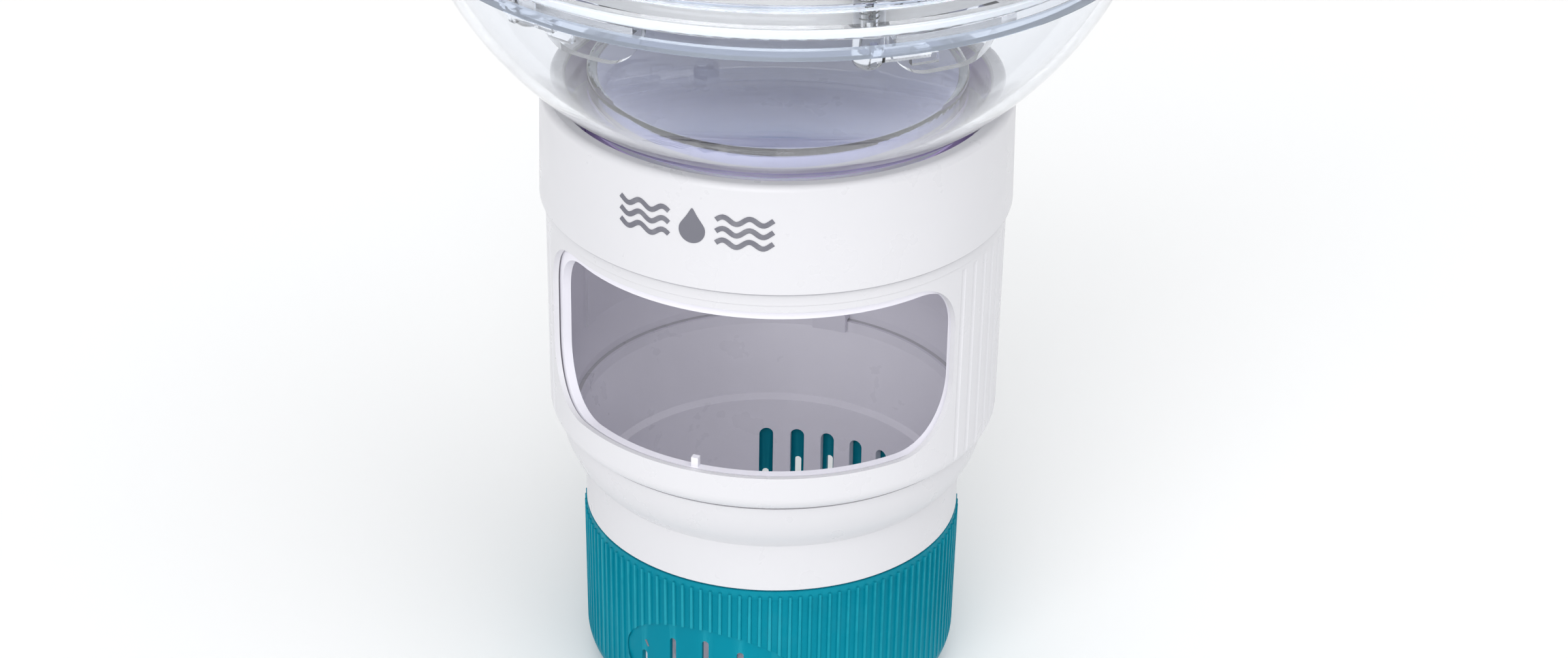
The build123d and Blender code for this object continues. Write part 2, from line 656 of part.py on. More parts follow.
def tablet_cup():
    groove = RING_TOP - 5
    shell = lathe(
        Line((0, CUP_FLOOR - CUP_FLOOR_T), (SEAT_R - 3, CUP_FLOOR - CUP_FLOOR_T)),
        RadiusArc((SEAT_R - 3, CUP_FLOOR - CUP_FLOOR_T), (SEAT_R, CUP_FLOOR - CUP_FLOOR_T + 3), -3),
        Line((SEAT_R, CUP_FLOOR - CUP_FLOOR_T + 3), (SEAT_R, groove)),
        Line((SEAT_R, groove), (SEAT_R - 0.6, groove + 0.3)),
        Line((SEAT_R - 0.6, groove + 0.3), (SEAT_R - 0.6, groove + 2)),
        Line((SEAT_R - 0.6, groove + 2), (SEAT_R, groove + 2.3)),
        Line((SEAT_R, groove + 2.3), (SEAT_R, RING_TOP + 0.3)),
        Line((SEAT_R, RING_TOP + 0.3), (CUP_R - 0.3, RING_TOP + 0.3)),
        Line((CUP_R - 0.3, RING_TOP + 0.3), (CUP_R, RING_TOP + 0.6)),
        Line((CUP_R, RING_TOP + 0.6), (CUP_R, SHOULDER_Z)),
        ThreePointArc((CUP_R, SHOULDER_Z), SHOULDER_MID, (CUP_RIM_R, CUP_RIM_Z)),
        Line((CUP_RIM_R, CUP_RIM_Z), (CAGE_NECK_R + 0.1, CUP_RIM_Z)),
        Line((CAGE_NECK_R + 0.1, CUP_RIM_Z), (CAGE_NECK_R + 0.1, CUP_LEDGE_Z)),
        Line((CAGE_NECK_R + 0.1, CUP_LEDGE_Z), (CUP_LEDGE_R, CUP_LEDGE_Z)),
        Line((CUP_LEDGE_R, CUP_LEDGE_Z), (CUP_LEDGE_R, FINGER_LOW - 0.3)),
        ThreePointArc((CUP_LEDGE_R, FINGER_LOW - 0.3), CUP_IN_MID, (CUP_IN_R, INNER_LEDGE_Z + 1)),
        Line((CUP_IN_R, INNER_LEDGE_Z + 1), (CUP_IN_R, INNER_LEDGE_Z)),
        Line((CUP_IN_R, INNER_LEDGE_Z), (WELL_R, INNER_LEDGE_Z - 1.2)),
        Line((WELL_R, INNER_LEDGE_Z - 1.2), (WELL_R, CUP_FLOOR)),
        Line((WELL_R, CUP_FLOOR), (0, CUP_FLOOR)),
        Line((0, CUP_FLOOR), (0, CUP_FLOOR - CUP_FLOOR_T)),
    )
    for group in SLOT_GROUPS:
        for i in range(-2, 3):
            angle = group + LOWER_TURN + i * SLOT_PITCH
            shell = shell - slot(SEAT_R, angle, CUP_SLOT_W, CUP_SLOT_LOW, CUP_SLOT_TOP)
    for i in range(3):
        shell = shell + Rot(0, 0, 60 * i) * Pos(0, 0, CUP_FLOOR - 0.5) * Box(*FLOOR_RIB, align=STANDING)
    hub = disc(HUB_R, HUB_LOW, CUP_FLOOR - 1)
    return shell + hub - disc(SCREW_R, HUB_LOW - 1, HUB_LOW + 9)


def ballast_weight():
    top = CUP_FLOOR - CUP_FLOOR_T - TOUCH
    low = top - BALLAST_H
    in_r = HUB_R + 0.3
    return turned((in_r, low), (BALLAST_R - 2, low), (BALLAST_R, low + 2), (BALLAST_R, top), (in_r, top))


def rib_outline():
    """Cross-section of the ribbed ring, one tooth after another."""
    points = []
    for i in range(RIB_COUNT):
        middle = 360 / RIB_COUNT * i
        for radius, offset in ((RIB_ROOT_R, -RIB_ROOT), (RIB_TOP_R, -RIB_TIP),
                               (RIB_TOP_R, RIB_TIP), (RIB_ROOT_R, RIB_ROOT)):
            angle = radians(middle + degrees(offset / 2 / radius))
            points.append((radius * sin(angle), -radius * cos(angle)))
    return make_face(Polyline(*points, close=True))


def ring_body():
    """Envelope of the ribs: slightly tapered side, rounded foot, flat bottom."""
    return lathe(
        Line((0, 0), (RING_LOW_R - RING_ROUND, 0)),
        RadiusArc((RING_LOW_R - RING_ROUND, 0), (RING_LOW_R, RING_ROUND), -RING_ROUND),
        Line((RING_LOW_R, RING_ROUND), (RIB_TOP_R, RING_TOP)),
        Line((RIB_TOP_R, RING_TOP), (0, RING_TOP)),
        Line((0, RING_TOP), (0, 0)),
    )


def flow_ring():
    ribbed = extrude(rib_outline(), RING_TOP - RIM_BAND) & ring_body()
    ring = ribbed + disc(RING_R, RING_TOP - RIM_BAND - 1, RING_TOP)
    for group in SLOT_GROUPS:
        ring = ring - lens_cutter(group + LOWER_TURN)
    inner_round = RING_ROUND - RING_FLOOR
    hollow = lathe(
        Line((0, RING_FLOOR), (RING_IN_R - inner_round, RING_FLOOR)),
        RadiusArc((RING_IN_R - inner_round, RING_FLOOR), (RING_IN_R, RING_FLOOR + inner_round), -inner_round),
        Line((RING_IN_R, RING_FLOOR + inner_round), (RING_IN_R, RING_TOP + 1)),
        Line((RING_IN_R, RING_TOP + 1), (0, RING_TOP + 1)),
        Line((0, RING_TOP + 1), (0, RING_FLOOR)),
    )
    ring = ring - hollow
    bead = RING_TOP - 4
    ring = ring + turned((RING_IN_R + 0.3, bead - 0.8), (RING_IN_R - 0.5, bead - 0.4),
                         (RING_IN_R - 0.5, bead + 0.4), (RING_IN_R + 0.3, bead + 0.8))
    ring = ring + disc(HUB_RECESS_R + 2, RING_FLOOR - 1, RING_FLOOR + 3.2) - disc(HUB_RECESS_R, -1, HUB_LOW)
    ring = ring - disc(HUB_R + 0.3, -1, 12)
    for group in SLOT_GROUPS:
        for i, top in enumerate(RING_SLOT_TOPS[group]):
            angle = group + LOWER_TURN + (i - 2) * SLOT_PITCH
            ring = ring - slot(RING_R, angle, RING_SLOT_W, RING_SLOT_LOW, top)
    return ring


def lens_cutter(angle):
    """Shallow smooth panel cut into the ribs around a group of slots."""
    lens = extrude(Plane.XZ * Ellipse(PANEL_HALF_W, PANEL_HALF_H), RING_R + 10)
    depth = tube(RING_R + 5, RIB_ROOT_R - PANEL_DEPTH, 0, RING_TOP)
    return Rot(0, 0, angle) * (Pos(0, 0, PANEL_MID_Z) * lens & depth)


def hub_cap():
    cap = disc(HUB_RECESS_R - 0.6, 0.4, HUB_LOW - TOUCH)
    cap = fillet(cap.edges().group_by(Axis.Z)[0], 0.8)
    cap = cap - disc(SCREW_R + 0.15, -1, 5)
    return cap - disc(SCREW_HEAD_R + 0.4, -1, 2.4)


def hub_screw():
    return Pos(0, 0, 2.4 - TOUCH) * Rot(180, 0, 0) * pan_screw(9)


PARTS = {
    "lower_bowl": lower_bowl,
    "upper_dome": upper_dome,
    "globe_seal": globe_seal,
    "tray_screws": tray_screws,
    "light_tray": light_tray,
    "led_board": led_board,
    "leds": lambda: [led(60 * i) for i in range(6)],
    "light_diffuser": light_diffuser,
    "board_screws": board_screws,
    "battery": battery,
    "battery_holder": battery_holder,
    "battery_contacts": lambda: [battery_contact(-1), battery_contact(1)],
    "panel_plate": panel_plate,
    "solar_cell": solar_cell,
    "panel_screws": panel_screws,
    "switch_board": switch_board,
    "power_switch": power_switch,
    "power_button": power_button,
    "collar": collar,
    "bowl_gasket": bowl_gasket,
    "inner_cage": inner_cage,
    "cage_screws": cage_screws,
    "window_sleeve": window_sleeve,
    "tablet_cup": tablet_cup,
    "ballast_weight": ballast_weight,
    "flow_ring": flow_ring,
    "hub_cap": hub_cap,
    "hub_screw": hub_screw,
}

os.makedirs("parts", exist_ok=True)
for name, make in PARTS.items():
    made = make()
    shape = Compound(children=made) if isinstance(made, list) else made
    export_step(shape, f"parts/{name}.step")
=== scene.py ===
from math import ceil, cos, pi, radians, sin, sqrt, tau

import bpy
from mathutils import Matrix, Vector

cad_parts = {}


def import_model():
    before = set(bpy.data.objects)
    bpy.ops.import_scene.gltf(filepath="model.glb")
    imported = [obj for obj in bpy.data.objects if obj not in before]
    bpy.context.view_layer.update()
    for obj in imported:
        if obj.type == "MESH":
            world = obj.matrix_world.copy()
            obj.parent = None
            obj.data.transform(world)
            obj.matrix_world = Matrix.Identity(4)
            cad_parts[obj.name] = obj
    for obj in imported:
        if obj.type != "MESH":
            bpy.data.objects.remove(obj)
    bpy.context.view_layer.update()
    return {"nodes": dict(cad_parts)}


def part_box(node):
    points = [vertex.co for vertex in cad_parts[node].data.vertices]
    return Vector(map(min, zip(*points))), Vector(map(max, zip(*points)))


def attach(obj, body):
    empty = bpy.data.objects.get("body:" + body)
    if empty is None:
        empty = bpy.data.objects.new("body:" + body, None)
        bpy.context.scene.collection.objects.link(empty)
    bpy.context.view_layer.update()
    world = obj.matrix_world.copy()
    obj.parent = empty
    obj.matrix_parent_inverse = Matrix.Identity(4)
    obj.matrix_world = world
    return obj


MM = 0.001

# Camera: where it stands, how far it looks down, turns and rolls
CAMERA_AT = (0.24856, -0.76499, 0.53746)
CAMERA_TURN = radians(17.82)
CAMERA_DOWN = radians(28.79)
CAMERA_ROLL = radians(0.96)
CAMERA_LENS = 82.5
SENSOR_WIDTH = 36.0

# Generic pictogram on the collar, millimetres along and above its middle
MARK_TURN = radians(-1.5)
MARK_Z = 152.8
MARK_SINK = 0.05
MARK_PROUD = 0.12
DROP_SIZE = 3.3
DROP_STEPS = 36
DROP_NARROWING = 0.55
DROP_STRETCH = 0.75
DROP_LOWERING = 0.25
WAVE_START = 6.0
WAVE_STEP = 0.5
WAVE_POINTS = 28
WAVE_LENGTH = 6.4
WAVE_HEIGHT = 0.8
WAVE_ROW = 3.0
WAVE_WIDTH = 1.25
WAVE_OVERLAP = 0.08

# Pointer on the ring's front panel, millimetres
TICK = [(0.5, -0.9), (0.9, -0.6), (0.0, 1.0), (-0.5, 0.7)]
TICK_R = 47.9
TICK_Z = 23.0
TICK_TURN = radians(-23)

# Outside of the collar's slightly tapered wall, millimetres
COLLAR_R = 59.1
COLLAR_TAPER = 0.4
COLLAR_WALL = (136.9, 163.2)

# Parts of the neck that show through the clear floor, where shade is painted on, and the lower seam, where a
# shadow line is painted on, millimetres
COLLAR_IN_R = 56.9
COLLAR_INNER = (149.2, 162.6)
COLLAR_SEAM_SHADOW = (136.9, 137.0)
PLATE_R = 46
PLATE_Z = 164

# Inside of the tablet cup: its radius limit grows from one to the other, millimetres
CUP_SWELL_Z = (60, 68)
CUP_SWELL_R = (48.2, 50.2)

# Hazy flange at the seam of the clear bowl, millimetres
FLANGE_Z = (209.6, 214.2)
FLANGE_R = 87.5

# Crests of the ring's ribs, where the teal is rubbed pale, millimetres from the axis
RIB_CREST = (48.35, 48.8)

# Solar cell: half the spacing of its lines, and where a line starts in it, millimetres
FINGERS = (0.95, 0.87)
BUSBARS = (8.5, 8.05)
CELL_GAPS = (17.0, 16.6)

# Battery, along X: where its tan band, bare foot and bare nub start, millimetres
BATTERY_BAND = (16.0, 16.2)
BATTERY_FOOT = (-23.4, -23.6)
BATTERY_NUB = (22.6, 22.8)

# Thread of the six screws under the light tray, millimetres
THREAD_PITCH = 1.35
THREAD_ROOT_R = 1.3
THREAD_CREST_R = 1.75
THREAD_STEPS = 20
THREAD_HALF_ROOT = 0.34
THREAD_HALF_CREST = 0.05
THREAD_ABOVE_TIP = 1.6
THREAD_BELOW_HEAD = 4.4
SCREW_CIRCLE_R = 78.5
SCREW_ANGLES = [32.5 + 60 * i for i in range(6)]

# Base colours, paler and deeper, that the cloudy plastics vary between
SHELL_PALE, SHELL_DEEP = (0.7, 0.695, 0.722), (0.68, 0.675, 0.702)
# The cup's white is a little deeper than the shell's, as painted shade
CUP_PALE, CUP_DEEP = (0.68, 0.675, 0.7), (0.66, 0.655, 0.68)
SMOOTH_GRAIN = 0.012
LIGHT_WEAR = 0.06

# Clear plastic of the globe: tint, roughness, refraction, absorption and coat
GLOBE_CLEAR = ((0.982, 0.986, 0.995), 0.012, 1.3, 20.0, 0.5)

# Corners sharper than this stay sharp
SHARP_ANGLE = radians(35)

# Floor, half its width in metres and how far below the object it lies in millimetres
FLOOR_HALF = 4.0
FLOOR_DROP = 0.3
FLOOR_COLOUR = (0.97, 0.97, 0.97, 1)
SKY_COLOUR = (0.97, 0.985, 1.0, 1)
SKY_STRENGTH = 0.56

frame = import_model()
nodes = frame["nodes"]


# ---------------------------------------------------------------- node looks

class Look:
    """A node material under construction."""

    def __init__(self, name):
        material = bpy.data.materials.new(name)
        material.use_nodes = True
        self.take(material)

    @classmethod
    def over(cls, material):
        """Take up a material again to add to it."""
        look = cls.__new__(cls)
        look.take(material)
        return look

    def take(self, material):
        self.material = material
        self.tree = material.node_tree
        self.shader = self.tree.nodes["Principled BSDF"]
        self.point = self.node("ShaderNodeTexCoord").outputs["Object"]

    def node(self, kind, inputs=None, **settings):
        made = self.tree.nodes.new(kind)
        for key, value in settings.items():
            setattr(made, key, value)
        for key, value in (inputs or {}).items():
            self.feed(made.inputs[key], value)
        return made

    def feed(self, socket, value):
        if isinstance(value, bpy.types.NodeSocket):
            self.tree.links.new(value, socket)
        else:
            socket.default_value = value

    def set(self, **values):
        for key, value in values.items():
            self.feed(self.shader.inputs[key.replace("_", " ")], value)

    def noise(self, scale, detail=3.0, stretch=None):
        place = self.point
        if stretch:
            place = self.node("ShaderNodeMapping", {"Vector": self.point, "Scale": stretch}).outputs[0]
        inputs = {"Vector": place, "Scale": scale, "Detail": detail}
        return self.node("ShaderNodeTexNoise", inputs).outputs[0]

    def cells(self, scale):
        return self.node("ShaderNodeTexVoronoi", {"Vector": self.point, "Scale": scale}).outputs["Distance"]

    def between(self, value, low, high, to_low=0.0, to_high=1.0):
        inputs = {"Value": value, "From Min": low, "From Max": high, "To Min": to_low, "To Max": to_high}
        return self.node("ShaderNodeMapRange", inputs).outputs[0]

    def ramp(self, value, span, to_low=0.0, to_high=1.0):
        """Change from one value to another over a span in millimetres."""
        return self.between(value, span[0] * MM, span[1] * MM, to_low, to_high)

    def within(self, value, span):
        """1 inside a span in millimetres, 0 elsewhere."""
        above = self.math("GREATER_THAN", value, span[0] * MM)
        return self.math("MULTIPLY", above, self.math("LESS_THAN", value, span[1] * MM))

    def math(self, operation, a, b=0.0):
        return self.node("ShaderNodeMath", {0: a, 1: b}, operation=operation).outputs[0]

    def mix(self, share, a, b):
        made = self.node("ShaderNodeMix", data_type="RGBA")
        self.feed(made.inputs[0], share)
        self.feed(made.inputs[6], rgba(a))
        self.feed(made.inputs[7], rgba(b))
        return made.outputs[2]

    def bump(self, height, strength, distance, under=None):
        inputs = {"Height": height, "Strength": strength, "Distance": distance}
        if under is not None:
            inputs["Normal"] = under
        return self.node("ShaderNodeBump", inputs).outputs[0]

    def radius(self):
        """Distance from the upright axis, in metres."""
        flat = self.node("ShaderNodeVectorMath", {0: self.point, 1: (1, 1, 0)}, operation="MULTIPLY")
        return self.node("ShaderNodeVectorMath", {0: flat.outputs[0]}, operation="LENGTH").outputs["Value"]

    def split(self):
        return self.node("ShaderNodeSeparateXYZ", {0: self.point}).outputs

    def edges(self, low, high):
        """Near 1 on outside corners, 0 elsewhere."""
        sharp = self.node("ShaderNodeNewGeometry").outputs["Pointiness"]
        return self.between(sharp, low, high)


def rgba(colour):
    """A colour for a socket: another node's output, or three numbers made opaque."""
    if isinstance(colour, bpy.types.NodeSocket):
        return colour
    return (*colour, 1.0)


def moulded(name, pale, deep, rough, grain, wear=(0.82, 0.82, 0.84), sss=0.0, worn=0.4):
    """Injection-moulded plastic: cloudy colour, fine grain, rubbed corners."""
    look = Look(name)
    cloud = look.noise(22, 4)
    colour = look.mix(look.between(cloud, 0.3, 0.7), deep, pale)
    corners = look.edges(0.62, 0.8)
    rub = look.math("MULTIPLY", corners, look.between(look.noise(420, 2), 0.45, 0.7, 0.0, worn))
    colour = look.mix(rub, colour, wear)
    wave = look.bump(look.noise(45, 1), 0.12, 0.0006)
    fine = look.bump(look.noise(2600, 2), grain, 0.0001, wave)
    look.set(Base_Color=colour, Normal=fine)
    look.set(Roughness=look.between(look.noise(90, 4), 0.3, 0.7, rough - 0.05, rough + 0.07))
    if sss:
        look.set(Subsurface_Weight=sss, Subsurface_Scale=0.002)
    return look.material


def clear(name, tint, rough, ior, depth=0.0, coat=0.0, milky=False):
    """Polished see-through moulding with faint ripples, rub marks and maybe a hazy flange."""
    look = Look(name)
    colour = look.mix(look.between(look.noise(12, 2), 0.35, 0.65), tint, (0.985, 0.99, 1.0))
    scratch = look.between(look.noise(900, 2, (1.0, 0.06, 1.0)), 0.62, 0.7, 0.0, 0.06)
    look.set(Base_Color=colour, Roughness=look.math("ADD", scratch, rough))
    look.set(Normal=look.bump(look.noise(30, 2), 0.05, 0.0008))
    look.set(Transmission_Weight=1.0, IOR=ior, Coat_Weight=coat, Coat_Roughness=0.02)
    if milky:
        outer = look.math("GREATER_THAN", look.radius(), FLANGE_R * MM)
        band = look.math("MULTIPLY", look.within(look.split()[2], FLANGE_Z), outer)
        look.set(Transmission_Weight=look.between(band, 0.0, 1.0, 1.0, 0.65))
        look.set(Base_Color=look.mix(band, colour, (0.6, 0.68, 0.82)))
    if depth:
        haze = look.node("ShaderNodeVolumeAbsorption", {"Color": (0.56, 0.68, 0.9, 1), "Density": depth})
        look.feed(look.tree.nodes["Material Output"].inputs["Volume"], haze.outputs[0])
    return look.material


def frosted(name):
    """Milky sheet that spreads the light of the lamps."""
    look = Look(name)
    colour = look.mix(look.noise(60, 3), (0.86, 0.87, 0.9), (0.96, 0.97, 0.98))
    look.set(Base_Color=colour, Roughness=look.between(look.noise(120), 0.3, 0.7, 0.42, 0.55))
    look.set(Normal=look.bump(look.noise(1800, 2), 0.2, 0.0001))
    look.set(Transmission_Weight=0.75, IOR=1.45)
    return look.material


def metal(name, pale, deep, rough, brush=900):
    """Streaked metal with a few darker stains."""
    look = Look(name)
    streak = look.noise(brush, 3, (1.0, 1.0, 0.15))
    colour = look.mix(look.between(streak, 0.3, 0.7), deep, pale)
    colour = look.mix(look.between(look.noise(160, 4), 0.6, 0.75, 0, 0.5), colour, (0.2, 0.18, 0.15))
    look.set(Roughness=look.between(streak, 0.3, 0.7, rough - 0.08, rough + 0.1))
    look.set(Base_Color=colour, Metallic=1.0)
    look.set(Normal=look.bump(streak, 0.08, 0.0001))
    return look.material


def teal():
    """Satin teal: rubbed pale on the crests of the ribs, darker in their roots."""
    look = Look("teal_ring")
    cloud = look.between(look.noise(26, 4), 0.3, 0.7)
    base = look.mix(cloud, (0.0003, 0.185, 0.26), (0.0006, 0.225, 0.31))
    crest = look.ramp(look.radius(), RIB_CREST)
    ragged = look.between(look.noise(300, 3), 0.3, 0.75, 0.05, 0.4)
    colour = look.mix(look.math("MULTIPLY", crest, ragged), base, (0.015, 0.36, 0.45))
    colour = look.mix(look.math("MULTIPLY", look.edges(0.52, 0.6), 0.3), colour, (0.04, 0.42, 0.5))
    scum = look.between(look.noise(55, 5), 0.6, 0.75, 0.0, 0.03)
    colour = look.mix(scum, colour, (0.2, 0.42, 0.46))
    fine = look.bump(look.noise(2200, 2), 0.06, 0.0001, look.bump(look.noise(50, 1), 0.1, 0.0005))
    look.set(Base_Color=colour, Normal=fine)
    look.set(Roughness=look.between(look.noise(110, 4), 0.3, 0.7, 0.36, 0.5), Specular_IOR_Level=0.05)
    return look.material


def circuit(name, lacquer):
    """Printed board: lacquer over faint tracks."""
    look = Look(name)
    tracks = look.node("ShaderNodeTexBrick", {
        "Vector": look.point, "Scale": 260.0, "Mortar Size": 0.035, "Color1": (0, 0, 0, 1),
        "Color2": (0, 0, 0, 1), "Mortar": (1, 1, 1, 1),
    }).outputs["Fac"]
    shade = look.mix(look.noise(80), tuple(0.85 * c for c in lacquer), lacquer)
    colour = look.mix(look.math("MULTIPLY", tracks, 0.5), shade, tuple(0.6 * c for c in lacquer))
    look.set(Base_Color=colour, Roughness=look.between(look.noise(200), 0.3, 0.7, 0.25, 0.4))
    look.set(Normal=look.bump(tracks, 0.25, 0.0001))
    return look.material


def photovoltaic():
    """Dark cells with silver fingers and busbars under clear resin."""
    look = Look("photovoltaic")
    x, y, _ = look.split()
    grains = look.between(look.cells(90), 0.1, 0.7)
    crystal = look.mix(grains, (0.004, 0.008, 0.035), (0.012, 0.025, 0.085))
    fingers, bars, gaps = [
        look.math("GREATER_THAN", look.math("PINGPONG", along, half * MM), start * MM)
        for along, (half, start) in ((y, FINGERS), (x, BUSBARS), (x, CELL_GAPS))
    ]
    colour = look.mix(look.math("MULTIPLY", fingers, 0.75), crystal, (0.32, 0.34, 0.38))
    colour = look.mix(bars, colour, (0.55, 0.56, 0.58))
    colour = look.mix(gaps, colour, (0.01, 0.012, 0.02))
    look.set(Base_Color=colour, Roughness=look.between(look.noise(60, 3), 0.3, 0.7, 0.12, 0.2))
    look.set(Normal=look.bump(look.noise(70, 2), 0.1, 0.0004), Coat_Weight=0.6, Coat_Roughness=0.08)
    return look.material


def battery_wrap():
    """Green sleeve with a tan band and bare metal ends, along X."""
    look = Look("battery_wrap")
    x = look.split()[0]
    band = look.ramp(x, BATTERY_BAND)
    bare = look.math("ADD", look.ramp(x, BATTERY_FOOT), look.ramp(x, BATTERY_NUB))
    sleeve = look.mix(look.noise(70), (0.01, 0.16, 0.07), (0.02, 0.22, 0.1))
    colour = look.mix(band, sleeve, (0.5, 0.42, 0.2))
    colour = look.mix(bare, colour, (0.62, 0.62, 0.6))
    look.set(Base_Color=colour, Metallic=bare)
    look.set(Roughness=look.between(look.noise(300), 0.3, 0.7, 0.22, 0.36))
    look.set(Normal=look.bump(look.noise(500, 3, (0.2, 1, 1)), 0.15, 0.0002))
    return look.material


def collar_white():
    """The shell's white, with painted mauve and blue shade under the clear floor and a painted shadow at the
    lower seam.
    """
    material = moulded("collar_white", SHELL_PALE, SHELL_DEEP, 0.3, SMOOTH_GRAIN, worn=LIGHT_WEAR)
    look = Look.over(material)
    outside = look.shader.inputs["Base Color"].links[0].from_socket
    height = look.split()[2]
    away = look.radius()
    inside = look.math("LESS_THAN", away, COLLAR_IN_R * MM)
    walls = look.math("MULTIPLY", inside, look.within(height, COLLAR_INNER))
    plate = look.math("LESS_THAN", away, PLATE_R * MM)
    plate = look.math("MULTIPLY", plate, look.math("GREATER_THAN", height, PLATE_Z * MM))
    under = look.math("MAXIMUM", walls, plate)
    streak = look.between(look.noise(60, 4), 0.35, 0.65)
    # Painted shade: mauve on the neck's inner walls and blue-grey on the plate, where they show through the
    # clear floor
    ledge_painted_shade = look.mix(streak, (0.52, 0.41, 0.72), (0.62, 0.51, 0.82))
    plate_painted_shade = look.mix(streak, (0.51, 0.53, 0.82), (0.56, 0.58, 0.87))
    # Painted shadow: the colour darkens to a dark line at the collar's lower seam, over the sleeve
    seam = look.ramp(height, COLLAR_SEAM_SHADOW, 0.7, 0.0)
    outside = look.mix(seam, outside, (0.25, 0.25, 0.28))
    colour = look.mix(under, outside, look.mix(plate, ledge_painted_shade, plate_painted_shade))
    look.set(Base_Color=colour)
    return material


def cup_white():
    """A white a little deeper than the shell's outside, as painted shade, and a paler lavender white inside
    the cup, as painted light and shade.
    """
    material = moulded("cup_white", CUP_PALE, CUP_DEEP, 0.3, SMOOTH_GRAIN, worn=LIGHT_WEAR)
    look = Look.over(material)
    outside = look.shader.inputs["Base Color"].links[0].from_socket
    limits = [MM * value for value in (*CUP_SWELL_Z, *CUP_SWELL_R)]
    swell = look.between(look.split()[2], *limits)
    inside = look.math("LESS_THAN", look.radius(), swell)
    # Painted light and shade: paler than the outside and tinted lavender, inside the cup
    inside_painted_light_and_shade = look.mix(look.between(look.noise(30, 3), 0.3, 0.7), (0.885, 0.87, 0.935), (0.925, 0.91, 0.975))
    look.set(Base_Color=look.mix(inside, outside, inside_painted_light_and_shade))
    return material


WHITE_SHELL = moulded("white_shell", SHELL_PALE, SHELL_DEEP, 0.3, SMOOTH_GRAIN, worn=LIGHT_WEAR)
# The inner cage: the shell's white made paler and lavender, painted light and shade for the inside of the
# window
INNER_WHITE_PAINTED_LIGHT = moulded("white_inner", (0.86, 0.845, 0.915), (0.83, 0.815, 0.885), 0.42, 0.02, worn=LIGHT_WEAR)
# The tray's white, also on the panel plate and hub cap, is darkened to grey as painted shade inside the
# globe
TRAY_WHITE_PAINTED_SHADE = moulded("white_tray", (0.55, 0.55, 0.545), (0.52, 0.52, 0.518), 0.38, 0.08)
CLEAR = clear("clear_shell", *GLOBE_CLEAR)
CLEAR_BOWL = clear("clear_bowl", *GLOBE_CLEAR, milky=True)
LED_CLEAR = clear("led_lens", (0.93, 0.95, 1.0), 0.04, 1.5)
SILICONE = moulded("silicone", (0.74, 0.77, 0.8), (0.68, 0.71, 0.75), 0.45, 0.1, sss=0.1)
STEEL = metal("steel", (0.62, 0.62, 0.6), (0.45, 0.45, 0.44), 0.3)
ZINC = metal("galvanised", (0.5, 0.51, 0.52), (0.34, 0.35, 0.37), 0.5, 60)
BLACK = moulded(
    "black_plastic", (0.035, 0.035, 0.038), (0.02, 0.02, 0.022), 0.4, 0.15, wear=(0.12, 0.12, 0.12)
)
BUTTON = moulded("grey_button", (0.3, 0.32, 0.35), (0.24, 0.26, 0.29), 0.55, 0.2, wear=(0.5, 0.5, 0.52))
BOARD = circuit("circuit", (0.8, 0.81, 0.79))
PRINT = moulded("grey_print", (0.17, 0.17, 0.2), (0.13, 0.13, 0.16), 0.5, 0.1, wear=(0.4, 0.4, 0.42))

LOOKS = {
    "lower_bowl": CLEAR_BOWL, "upper_dome": CLEAR, "globe_seal": SILICONE, "bowl_gasket": SILICONE,
    "tray_screws": STEEL, "board_screws": STEEL, "panel_screws": STEEL, "cage_screws": STEEL,
    "hub_screw": STEEL, "battery_contacts": STEEL, "light_tray": TRAY_WHITE_PAINTED_SHADE, "panel_plate": TRAY_WHITE_PAINTED_SHADE,
    "hub_cap": TRAY_WHITE_PAINTED_SHADE, "led_board": BOARD, "switch_board": BOARD, "leds": LED_CLEAR,
    "light_diffuser": frosted("frosted"), "battery": battery_wrap(), "battery_holder": BLACK,
    "power_switch": BLACK, "solar_cell": photovoltaic(), "power_button": BUTTON, "collar": collar_white(),
    "window_sleeve": WHITE_SHELL, "inner_cage": INNER_WHITE_PAINTED_LIGHT, "tablet_cup": cup_white(),
    "ballast_weight": ZINC, "flow_ring": teal(),
}
for name, material in LOOKS.items():
    slots = nodes[name].data.materials
    slots.clear()
    slots.append(material)


# ---------------------------------------------------------------- new pieces

def piece(name, verts, faces, material, body):
    """Mesh object made from points in millimetres, riding on a CAD body."""
    mesh = bpy.data.meshes.new(name)
    mesh.from_pydata([tuple(MM * c for c in v) for v in verts], [], faces)
    mesh.validate()
    mesh.materials.append(material)
    made = bpy.data.objects.new(name, mesh)
    bpy.context.scene.collection.objects.link(made)
    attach(made, body)
    return made


def smooth(obj):
    """Smooth shading that keeps the sharp corners."""
    for face in obj.data.polygons:
        face.use_smooth = True
    obj.data.set_sharp_from_angle(angle=SHARP_ANGLE)


def helix(low, high, axis_x, axis_y):
    """Points and faces of one V-shaped thread that climbs round an upright axis."""
    verts, faces = [], []
    count = ceil((high - low) / THREAD_PITCH * THREAD_STEPS)
    for i in range(count + 1):
        a = tau * i / THREAD_STEPS
        z = low + (high - low) * i / count
        grow = min(1.0, i / THREAD_STEPS, (count - i) / THREAD_STEPS)
        crest = THREAD_ROOT_R + grow * (THREAD_CREST_R - THREAD_ROOT_R)
        profile = (
            (THREAD_ROOT_R, -THREAD_HALF_ROOT), (crest, -THREAD_HALF_CREST),
            (crest, THREAD_HALF_CREST), (THREAD_ROOT_R, THREAD_HALF_ROOT),
        )
        for r, dz in profile:
            verts.append((axis_x + r * cos(a), axis_y + r * sin(a), z + dz))
    for i in range(count):
        for k in range(4):
            a, b = 4 * i + k, 4 * i + (k + 1) % 4
            faces.append((a, b, b + 4, a + 4))
    end = 4 * count
    return verts, faces + [(3, 2, 1, 0), (end, end + 1, end + 2, end + 3)]


